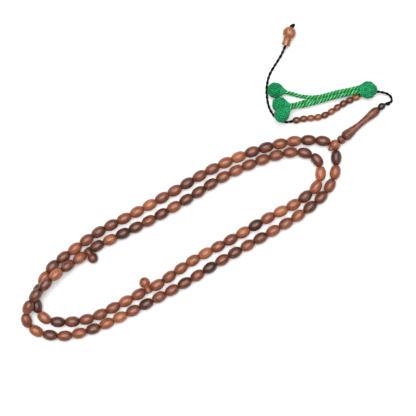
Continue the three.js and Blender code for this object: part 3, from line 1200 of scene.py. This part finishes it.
            # The neck is painted darker towards its own middle: painted shade between its turns.
            extras.append(yarn.mesh(name + "_neck", [neck], [self.NECK_TONE], hearts=middles))
        if self.collar_radius > 0:
            extras.append(yarn.mesh(name + "_collar", [self._collar()], [self.COLLAR_TONE], closed=True))
        Lathe.deselect()
        for extra in extras:
            extra.select_set(True)
        woven.select_set(True)
        bpy.context.view_layer.objects.active = woven
        bpy.ops.object.join()
        return woven

    def _core(self, name: str) -> bpy.types.Object:
        """Makes the ball inside, painted dark: painted shade that shows between the strands.

        Args:
            name: The ball's name.

        Returns:
            The ball.
        """
        Lathe.deselect()
        inner = self.radius - 2 * self.strand_radius - self.weave * self.CORE_GAP
        bpy.ops.mesh.primitive_uv_sphere_add(segments=28, ring_count=16, radius=inner)
        ball = bpy.context.active_object
        ball.name = name
        mesh = ball.data
        for vertex in mesh.vertices:
            vertex.co = self._placed(Vector((vertex.co.x * self.length_factor, vertex.co.y, vertex.co.z)))
        fibres = []
        for vertex in mesh.vertices:
            fibres.extend((vertex.co - self.centre) / MM)
        mesh.attributes.new("fibre", "FLOAT_VECTOR", "POINT").data.foreach_set("vector", fibres)
        # The whole core carries painted shade.
        shades = [self.CORE_SHADE_TONE] * len(mesh.vertices)
        mesh.attributes.new("tone", "FLOAT", "POINT").data.foreach_set("value", shades)
        mesh.shade_smooth()
        return ball


# ------------------------------------------------------------------ sub-assemblies


@dataclass
class Studio:
    """The pale floor, the soft light and the camera straight above."""

    view_width: float = 0.2704
    aim: tuple[float, float] = (0.00294, -0.01684)
    distance: float = 1.3
    sensor: float = 36.0
    clip: tuple[float, float] = (0.01, 20)
    floor_size: float = 4.0
    floor_drop: float = 0.05 * MM
    floor_shade: float = 0.8
    floor_roughness: float = 0.9
    floor_specular: float = 0.1
    light_angle: float = math.radians(60)
    light_strength: float = 4.9
    light_from: tuple[float, float, float] = (-0.05, 0.16, 1.0)
    surround_strength: float = 0.12

    def camera(self) -> None:
        """Sets up the camera, looking straight down with +Y up."""
        data = bpy.data.cameras.new("camera")
        data.sensor_width = self.sensor
        data.lens = self.sensor * self.distance / self.view_width
        data.clip_start, data.clip_end = self.clip
        camera = bpy.data.objects.new("camera", data)
        camera.location = (*self.aim, self.distance + BEAD_HEIGHT)
        bpy.context.scene.collection.objects.link(camera)
        bpy.context.scene.camera = camera

    def floor(self) -> None:
        """Lays a plain pale floor just under the beads."""
        Lathe.deselect()
        bpy.ops.mesh.primitive_plane_add(size=self.floor_size, location=(0, 0, -self.floor_drop))
        floor = bpy.context.active_object
        floor.name = "floor"
        Lathe.settle([floor])
        bench = NodeBench("pale_floor")
        bench.shader.inputs["Base Color"].default_value = (*([self.floor_shade] * 3), 1)
        bench.fixed(Roughness=self.floor_roughness, Specular_IOR_Level=self.floor_specular)
        floor.data.materials.append(bench.material)

    def lights(self) -> None:
        """Lights the floor evenly from a broad soft source overhead, inside a pale surround."""
        data = bpy.data.lights.new("overhead", "SUN")
        data.angle = self.light_angle
        data.energy = self.light_strength
        overhead = bpy.data.objects.new("overhead", data)
        overhead.rotation_euler = Vector(self.light_from).to_track_quat("Z", "Y").to_euler()
        bpy.context.scene.collection.objects.link(overhead)
        self._surround()
        bpy.context.scene.view_settings.view_transform = "Standard"

    def _surround(self) -> None:
        """Shows a white surround to the camera and a dimmer one to the beads."""
        world = bpy.data.worlds.new("surround")
        world.use_nodes = True
        tree = world.node_tree
        background = tree.nodes["Background"]
        background.inputs["Color"].default_value = (1, 1, 1, 1)
        strength = tree.nodes.new("ShaderNodeMapRange")
        strength.inputs["To Min"].default_value = self.surround_strength
        strength.inputs["To Max"].default_value = 1.0
        rays = tree.nodes.new("ShaderNodeLightPath")
        tree.links.new(rays.outputs["Is Camera Ray"], strength.inputs["Value"])
        tree.links.new(strength.outputs["Result"], background.inputs["Strength"])
        bpy.context.scene.world = world


@dataclass
class BlackCord:
    """The twisted black cord, and the stretch of it hidden in the imam.

    It comes out of the stop bead, goes round its free arc and through the big knot, the counters and the end
    cap, and is tied past the cap.
    """

    KNOT_STEPS = 90
    KNOT_ALONG, KNOT_ACROSS, KNOT_HEIGHT = 0.92, 0.55, 0.7
    KNOT_RISE = 1.3

    wardrobe: Wardrobe
    diameter: float = 1.4 * MM
    plies: int = 2
    lay: float = 6.4 * MM
    plumpness: float = 1.5
    # The painted shade in the grooves between the black cord's plies.
    groove_shade: float = 0.2
    tones: tuple[float, float] = (0.42, 0.55)
    start_distance: float = 37.6 * MM
    exit_distance: float = 41.5 * MM
    mouth_depth: float = 1.3 * MM
    core_start: float = 3.9 * MM
    core_middle: float = 20 * MM
    core_end: float = 38.4 * MM
    declared_steps: int = 400
    stop_knot_distance: float = 4.9 * MM
    stop_knot_lean: tuple[float, float, float] = (0.65 * MM, -0.1 * MM, 0.2 * MM)
    stop_knot_direction: tuple[float, float, float] = (0.93, 0.37, 0.1)
    stop_knot_scale: float = 0.46 * MM
    bead_knot_centre: tuple[float, float, float] = (0.1195, 0.0513, 0.0019)
    bead_knot_direction: tuple[float, float, float] = (0.95, 0.29, -0.1)
    bead_knot_scale: float = 0.44 * MM
    bend_start: tuple[float, float, float] = (0.1166, 0.0580, 0.0)
    bend_end: tuple[float, float, float] = (0.1118, 0.05944, 0.0)

    def route(self) -> Route:
        """Lays the whole cord's centreline.

        Returns:
            The route from inside the stop bead to inside the stop knot.
        """
        mouth = self.exit_distance - self.mouth_depth
        start = [IMAM_AXIS.at(self.start_distance), IMAM_AXIS.at(mouth)]
        free = [laid(point) for point in (*CORD_ARC_ROUTE, *TAIL_CORD_ROUTE)]
        end = [CAP_AXIS.at(distance) for distance in (*CAP_STATIONS, self.stop_knot_distance)]
        return Route([*start, *free, *end])

    def build(self) -> tuple[bpy.types.Object, Route]:
        """Makes the cord and its hidden stretch in the imam.

        Returns:
            The cord and its centreline.
        """
        twisted = TwistedCord(self.diameter, self.plies, self.lay, self.plumpness, self.groove_shade)
        route = self.route()
        cord = twisted.build("black_cord", route, self.tones)
        self.wardrobe.dress(cord, BLACK_CORD, "tail_cord")
        laid(self.bend_start)
        laid(self.bend_end)
        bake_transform(cord)
        log.info("black_cord: %.1f mm long", route.length / MM)

        inner = Route([IMAM_AXIS.at(place) for place in (self.core_start, self.core_middle, self.core_end)])
        core = twisted.build("imam_core", inner, self.tones)
        self.wardrobe.dress(core, BLACK_CORD, "imam_cord", "imam")
        log.info("imam_core: %.1f mm long", inner.length / MM)
        return cord, route

    def tie_knots(self) -> list[bpy.types.Object]:
        """Ties the two knots in the cord.

        Returns:
            The knot past the end cap, and the one that keeps the stop bead on.
        """
        past_cap = CAP_AXIS.at(self.stop_knot_distance) + Vector(self.stop_knot_lean)
        stop = self._tied("stop_knot_tied", past_cap, Vector(self.stop_knot_direction), self.stop_knot_scale)
        self.wardrobe.dress(stop, BLACK_CORD, "stop_knot", "tassel")
        at_bead, ahead = laid(self.bead_knot_centre), Vector(self.bead_knot_direction)
        bead_knot = self._tied("bead_knot_tied", at_bead, ahead, self.bead_knot_scale)
        self.wardrobe.dress(bead_knot, BLACK_CORD, body="imam")
        return [stop, bead_knot]

    def _tied(self, name: str, centre: Vector, direction: Vector, scale: float) -> bpy.types.Object:
        """Ties an overhand knot.

        Args:
            name: The piece's name.
            centre: The knot's middle.
            direction: Where the cord goes on from it.
            scale: The size of its loops.

        Returns:
            The knot.
        """
        placement = aimed(centre, direction)
        path = []
        for step in range(self.KNOT_STEPS):
            turn = 2 * math.pi * step / self.KNOT_STEPS
            along = self.KNOT_ALONG * (math.sin(turn) + 2 * math.sin(2 * turn))
            across = self.KNOT_ACROSS * (math.cos(turn) - 2 * math.cos(2 * turn))
            height = -self.KNOT_HEIGHT * self.KNOT_RISE * math.sin(3 * turn)
            path.append(placement @ (Vector((along, across, height)) * scale))
        yarn = Yarn(radius=0.5 * self.diameter, twist_per_mm=WovenKnot.FIBRE_TWIST)
        log.info("%s", name)
        return yarn.mesh(name, [path], [PLAIN_TONE], closed=True)

    def declare(self, cord: bpy.types.Object, route: Route) -> None:
        """Args:
            cord: The cord. It is not used.
            route: Its centreline.
        """
        last = self.declared_steps
        IMAM_AXIS.at(self.exit_distance)
        [route.at(route.length * step / last) for step in range(last + 1)]


@dataclass
class Tassel:
    """The big woven knot and the three ropes with their end knots."""

    wardrobe: Wardrobe
    rope_diameter: float = 2.7 * MM
    rope_lay: float = 7.2 * MM
    rope_inside: float = 2.6 * MM
    rope_plumpness: float = 1.08
    # The painted shade in the grooves between each rope's plies.
    rope_groove_shade: float = 0.6
    rope_tones: tuple[float, float, float] = (0.72, 0.8, 0.66)
    rope_share_in_neck: float = 0.36
    declared_steps: int = 200
    knot_radius: float = 5.85 * MM
    knot_length_factor: float = 0.94
    knot_height_factor: float = 0.87
    collar_radius: float = 1.75 * MM
    end_knot_centres: tuple[tuple[float, float, float], ...] = (
        (0.0459, 0.0598, 0.0045),
        (0.0488, 0.0505, 0.0044),
        (0.0500, 0.0435, 0.0095),
    )
    end_knot_radii: tuple[float, ...] = (5.2 * MM, 5.0 * MM, 5.0 * MM)
    end_knot_height_factors: tuple[float, ...] = (0.92, 0.92, 1.0)
    neck_reach: float = 1.28
    knot_neck_end: float = 6.3 * MM
    knot_neck_radius: float = 2.7 * MM
    knot_direction: tuple[float, float, float] = (-5.9, -0.6, 0.8)

    def build_ropes(self, chance: random.Random) -> None:
        """Twists the ropes and works their end knots, each pair riding with its strand.

        Args:
            chance: Where small differences come from.
        """
        twisted = TwistedCord(
            self.rope_diameter, len(self.rope_tones), self.rope_lay, self.rope_plumpness, self.rope_groove_shade
        )
        last = self.declared_steps
        heart = laid(TASSEL_KNOT_CENTRE)
        for number, points in enumerate(ROPE_ROUTES, start=1):
            outside = [laid(point) for point in points]
            inside = outside[0] + (heart - outside[0]).normalized() * self.rope_inside
            route = Route([inside, *outside])
            rope = twisted.build(f"green_rope_{number}", route, self.rope_tones)
            self.wardrobe.dress(rope, GREEN_ROPE, f"rope_{number}", f"strand_{number}")
            knot = self._end_knot(number, route, chance)
            [route.at(route.length * step / last) for step in range(last + 1)]
            log.info("green_rope_%d: %.1f mm long", number, route.length / MM)

    def _end_knot(self, number: int, route: Route, chance: random.Random) -> bpy.types.Object:
        """Works one end knot, its neck closing on its rope.

        Args:
            number: The rope's number.
            route: The rope's centreline.
            chance: Where the strands' small differences come from.

        Returns:
            The knot.
        """
        centre = laid(self.end_knot_centres[number - 1])
        radius = self.end_knot_radii[number - 1]
        knot = WovenKnot(
            centre=centre,
            direction=route.at(route.length) - centre,
            radius=radius,
            height_factor=self.end_knot_height_factors[number - 1],
            neck_end=self.neck_reach * radius,
            neck_radius=self.rope_share_in_neck * self.rope_diameter,
        ).build(f"woven_end_knot_{number}", chance)
        self.wardrobe.dress(knot, GREEN_KNOT, f"end_knot_{number}", f"strand_{number}")
        log.info("woven_end_knot_%d: %.1f mm across", number, 2 * radius / MM)
        return knot

    def build_knot(self, chance: random.Random) -> bpy.types.Object:
        """Works the big knot.

        Args:
            chance: Where small differences come from.

        Returns:
            The knot.
        """
        knot = WovenKnot(
            centre=laid(TASSEL_KNOT_CENTRE),
            direction=Vector(self.knot_direction),
            radius=self.knot_radius,
            length_factor=self.knot_length_factor,
            height_factor=self.knot_height_factor,
            neck_end=self.knot_neck_end,
            neck_radius=self.knot_neck_radius,
            collar_radius=self.collar_radius,
            bights=8,
            steps=760,
        ).build("woven_tassel_knot", chance)
        self.wardrobe.dress(knot, GREEN_KNOT, "tassel_knot", "tassel")
        log.info("woven_tassel_knot: %.1f mm across", 2 * self.knot_radius / MM)
        return knot


@dataclass
class BeadLoop:
    """The ninety-nine main beads in three sections, on their closed string."""

    wardrobe: Wardrobe
    beads_per_section: int = 33
    loose_beads: int = 3
    run_lengths: tuple[int, ...] = (5, 6, 5, 6, 5)
    head_reach: float = 3.75 * MM
    divider_span: float = 4.3 * MM
    chord_reach: float = 4.5 * MM
    half: float = 4.63 * MM
    radius: float = 3.5 * MM
    end_radius: float = 1.5 * MM
    bore: float = 0.7 * MM
    sides: int = 28
    rings: int = 16
    string_radius: float = 0.5 * MM
    string_step: float = 2.2 * MM
    tone_spread: float = 0.05
    full_roll: float = 6.28
    tones: tuple[str, ...] = (
        "DDOMDDLOMMDMMLOMDDMODDODXOXDMMMOM",
        "OMOOLMMOXMLODOLDDMMMMOMDDDODMDXOD",
        "ODLDDMMODMODOLMXMMDMXMDMDOMODDMOX",
    )
    route: Route = field(init=False)

    def __post_init__(self) -> None:
        """Lays the string from the imam head round both turns and back."""
        points = [point for section in SECTION_ROUTES for point in section]
        self.route = Route([laid(HEAD_CENTRE), *(laid(point) for point in points)], closed=True)

    def heading(self, station: float) -> Vector:
        """Returns the direction of what is threaded at a station."""
        return self.route.heading(station, self.chord_reach)

    def divider_station(self, divider: int) -> float:
        """Returns where divider number 0 or 1 sits along the string, on its section's last point."""
        point = sum(len(section) for section in SECTION_ROUTES[: divider + 1])
        return self.route.distances[point * Route.STEPS_PER_POINT]

    def stretch(self, section: int) -> tuple[float, float]:
        """Finds where a section's beads are along the string.

        Args:
            section: The section, from 0.

        Returns:
            Where its beads start, and each bead's share of the string.
        """
        beside = self.divider_span / 2
        start, end = self.head_reach, self.route.length - self.head_reach
        if section > 0:
            start = self.divider_station(section - 1) + beside
        if section < len(self.tones) - 1:
            end = self.divider_station(section) - beside
        return start, (end - start) / self.beads_per_section

    def owner(self, section: int, bead: int) -> tuple[str, str]:
        """Finds the CAD node and body that a bead belongs to.

        Args:
            section: The section, from 0.
            bead: The bead, from 0.

        Returns:
            The node's and the body's names.
        """
        if bead < self.loose_beads or bead >= self.beads_per_section - self.loose_beads:
            name = f"bead_{section + 1}_{bead + 1}"
            return name, name
        first = self.loose_beads
        for count in self.run_lengths:
            if bead < first + count:
                break
            first += count
        return f"bead_run_{section + 1}_{first + 1}_to_{first + count}", "beads"

    def build(self, chance: random.Random) -> None:
        """Turns one bead, threads ninety-nine copies and runs the string through them.

        Args:
            chance: Where each bead's own grain comes from.
        """
        outline = oval(self.half, self.radius, self.end_radius, self.bore, self.rings)
        master = Lathe.turn("bead_master", outline, self.sides)
        made = []
        for section, letters in enumerate(self.tones):
            start, pitch = self.stretch(section)
            for bead in range(self.beads_per_section):
                station = start + (bead + 0.5) * pitch
                piece = Lathe.copy(master, f"wood_bead_{section + 1}_{bead + 1}")
                spread = chance.uniform(-self.tone_spread, self.tone_spread)
                Lathe.grain(piece, TONE_LETTERS[letters[bead]].value + spread, chance)
                roll = chance.uniform(0, self.full_roll)
                piece.matrix_world = aimed(self.route.at(station), self.heading(station), roll)
                made.append((piece, *self.owner(section, bead)))
        bpy.data.objects.remove(master)
        Lathe.settle([piece for piece, _, _ in made])
        for piece, node, body in made:
            self.wardrobe.dress(piece, BEAD_WOOD, node, body)
        log.info("%d wooden beads", len(made))
        self._string()

    def _string(self) -> None:
        """Runs the closed string through beads and dividers."""
        steps = round(self.route.length / self.string_step)
        path = [self.route.at(self.route.length * step / steps) for step in range(steps)]
        yarn = Yarn(radius=self.string_radius, corners=6)
        string = yarn.mesh("bead_string", [path], [PLAIN_TONE], closed=True)
        self.wardrobe.dress(string, BLACK_CORD, body="beads")
        log.info("bead_string: %.0f mm round", self.route.length / MM)


@dataclass
class Dividers:
    """The two dividers: a drum across the string with a ball at its side."""

    wardrobe: Wardrobe
    loop: BeadLoop
    sides: int = 32
    bore: float = 0.75 * MM
    drill_reach: float = 4 * MM
    tones: tuple[Tone, Tone] = (Tone.ORANGE, Tone.DARK)

    def outline(self) -> list[tuple[float, float]]:
        """Outlines the drum, the neck with its thin ring and the ball, from the foot.

        Returns:
            The outline in millimetres.
        """
        foot = [(-2.7, 0.0), (-2.66, 1.0), (-2.5, 1.8), (-2.15, 2.35)]
        drum = [(-1.75, 2.5), (-1.3, 2.35), (-0.7, 2.12), (0.0, 2.05), (0.8, 2.05)]
        ring = [(1.25, 2.1), (1.4, 2.4), (1.62, 2.5), (1.84, 2.4), (2.0, 2.1)]
        return [*foot, *drum, *ring, *arc(5.05, 3.5, 3.5, first=143, last=0, steps=14)]

    def build(self, chance: random.Random) -> None:
        """Turns, drills and places both dividers.

        Args:
            chance: Where each one's own grain comes from.
        """
        for number, tone in enumerate(self.tones, start=1):
            station = self.loop.divider_station(number - 1)
            along, centre = self.loop.heading(station), self.loop.route.at(station)
            placement = aimed(centre, Z_AXIS.cross(along))
            name = f"turned_divider_{number}"
            piece = Lathe.made(name, self.outline(), self.sides, tone.value, placement, chance)
            reach = along * self.drill_reach
            Lathe.drill(piece, centre - reach, centre + reach, self.bore)
            self.wardrobe.dress(piece, BEAD_WOOD, f"divider_{number}", f"divider_{number}")
            log.info("%s", name)


@dataclass
class Imam:
    """The imam: a ball with a pointed foot, a ring, a long spindle and the stop bead, in millimetres."""

    wardrobe: Wardrobe
    sides: int = 36
    bore: float = 0.9
    ring_station: float = 5.2
    stop_station: float = 39.3
    stop_half: float = 2.2
    stop_radius: float = 2.3
    stop_end_radius: float = 1.3
    stop_bore: float = 1.0
    stop_rings: int = 12

    def head_outline(self) -> list[tuple[float, float]]:
        """Outlines the pointed foot and the ball, from the foot.

        Returns:
            The outline in millimetres.
        """
        foot = [(-5.7, 0.0), (-5.6, 0.25), (-5.2, 0.75), (-4.6, 1.3), (-3.9, 1.7), (-3.3, 1.85)]
        return [*foot, *arc(0.0, 3.45, 3.5, first=145, last=14, steps=15), (3.38, 0.0)]

    def ring_outline(self) -> list[tuple[float, float]]:
        """Outlines the bored ring about its own centre.

        Returns:
            The outline in millimetres.
        """
        outer = [(-1.78, 1.75), (-1.72, 2.1), (-1.3, 2.6), (-0.65, 2.88), (0.0, 2.95)]
        mirrored = [(-x, r) for x, r in reversed(outer[:-1])]
        return [(-1.78, self.bore), *outer, *mirrored, (1.78, self.bore)]

    def body_outline(self) -> list[tuple[float, float]]:
        """Outlines the spindle by its distance from the head's centre.

        Returns:
            The outline in millimetres.
        """
        shape = [
            (7.0, 1.85), (7.25, 2.3), (7.8, 2.85), (8.6, 3.25), (9.5, 3.45), (10.5, 3.48), (12.0, 3.28),
            (13.8, 2.92), (16.0, 2.48), (18.5, 2.16), (21.0, 2.02), (24.0, 2.06), (27.0, 2.28), (29.5, 2.6),
            (31.5, 2.86), (33.2, 2.98), (34.6, 2.82), (35.7, 2.4), (36.5, 1.8), (36.9, 1.25),
        ]
        return [*shape, (36.9, self.bore), (7.0, self.bore)]

    def build(self, chance: random.Random) -> None:
        """Turns the four pieces and threads them.

        Args:
            chance: Where each one's own grain comes from.
        """
        stop = oval(self.stop_half, self.stop_radius, self.stop_end_radius, self.stop_bore, self.stop_rings)
        # For each piece: its node, outline, place on the axis, finish, tone and body.
        parts = (
            ("imam_head", self.head_outline(), 0.0, HEAD_WOOD, 0.46, "beads"),
            ("imam_ring", self.ring_outline(), self.ring_station, IMAM_WOOD, 0.5, "imam_ring"),
            ("imam_body", self.body_outline(), 0.0, IMAM_WOOD, 0.45, "imam_body"),
            ("stop_bead", stop, self.stop_station, DARK_WOOD, 0.44, "stop_bead"),
        )
        for node, outline, distance, finish, tone, body in parts:
            placement = aimed(IMAM_AXIS.at(distance * MM), IMAM_AXIS.direction)
            piece = Lathe.made(f"turned_{node}", outline, self.sides, tone, placement, chance)
            self.wardrobe.dress(piece, finish, node, body)
            log.info("%s", piece.name)


@dataclass
class Counters:
    """The ten small counter beads on the black cord."""

    wardrobe: Wardrobe
    pitch: float = 4.72 * MM
    last_station: float = 2.95 * MM
    half: float = 2.34 * MM
    radius: float = 2.24 * MM
    end_radius: float = 1.15 * MM
    bore: float = 0.9 * MM
    sides: int = 24
    rings: int = 12
    tones: str = "DMOODOMDDL"

    def build(self, chance: random.Random) -> list[bpy.types.Object]:
        """Turns one counter and threads ten copies.

        Args:
            chance: Where each one's own grain comes from.

        Returns:
            The counters, from number 1, the one furthest from the big knot.
        """
        end = [CAP_AXIS.at(distance) for distance in CAP_STATIONS]
        tail = Route([*(laid(point) for point in TAIL_CORD_ROUTE), *end])
        outline = oval(self.half, self.radius, self.end_radius, self.bore, self.rings)
        master = Lathe.turn("counter_master", outline, self.sides)
        made = []
        for number, letter in enumerate(self.tones, start=1):
            station = self.last_station + (len(self.tones) - number) * self.pitch
            piece = Lathe.copy(master, f"wood_counter_{number}")
            Lathe.grain(piece, TONE_LETTERS[letter].value, chance)
            piece.matrix_world = aimed(tail.at(station), tail.heading(station))
            made.append(piece)
        bpy.data.objects.remove(master)
        Lathe.settle(made)
        for number, piece in enumerate(made, start=1):
            self.wardrobe.dress(piece, BEAD_WOOD, f"counter_{number}", f"counter_{number}")
        log.info("%d counters", len(made))
        return made


@dataclass
class EndCap:
    """The turned cap on the cord's end: a ball on a waisted drum with a flared mouth."""

    wardrobe: Wardrobe
    sides: int = 36
    bore: float = 0.85
    tone: float = 0.5

    def outline(self) -> list[tuple[float, float]]:
        """Outlines the cap from its mouth, about the ball's centre.

        Returns:
            The outline in millimetres.
        """
        mouth = [(-8.35, 1.9), (-8.45, 2.6), (-8.25, 2.85), (-7.9, 2.84)]
        drum = [(-7.0, 2.62), (-6.0, 2.5), (-5.0, 2.5)]
        collar = [(-4.75, 2.55), (-4.6, 2.82), (-4.0, 2.9), (-3.75, 2.75), (-3.65, 2.42), (-3.5, 2.42)]
        ball = arc(0.0, 4.15, 4.25, first=143, last=22, steps=13)
        inside = [(4.05, 1.2), (3.7, self.bore), (-5.8, self.bore)]
        return [*mouth, *drum, *collar, *ball, *inside]

    def build(self, chance: random.Random) -> bpy.types.Object:
        """Turns and threads the cap.

        Args:
            chance: Where its grain comes from.

        Returns:
            The cap.
        """
        placement = aimed(CAP_AXIS.origin, CAP_AXIS.direction)
        cap = Lathe.made("turned_end_cap", self.outline(), self.sides, self.tone, placement, chance)
        self.wardrobe.dress(cap, LIGHT_WOOD, "end_cap", "end_cap")
        log.info("turned_end_cap")
        return cap


def main() -> None:
    """Builds the misbaha: camera and cords first, then the wood, then the studio."""
    logging.basicConfig(level=logging.INFO, format="%(name)s: %(message)s")
    chance = random.Random(SEED)
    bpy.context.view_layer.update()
    wardrobe = Wardrobe()
    studio = Studio()
    studio.camera()

    black = BlackCord(wardrobe)
    cord, cord_route = black.build()
    tied = black.tie_knots()
    tassel = Tassel(wardrobe)
    tassel.build_ropes(chance)
    tassel_knot = tassel.build_knot(chance)

    loop = BeadLoop(wardrobe)
    loop.build(chance)
    Dividers(wardrobe, loop).build(chance)
    Imam(wardrobe).build(chance)
    counters = Counters(wardrobe).build(chance)
    cap = EndCap(wardrobe).build(chance)
    black.declare(cord, cord_route)

    studio.floor()
    studio.lights()


if __name__ == "__main__":
    main()
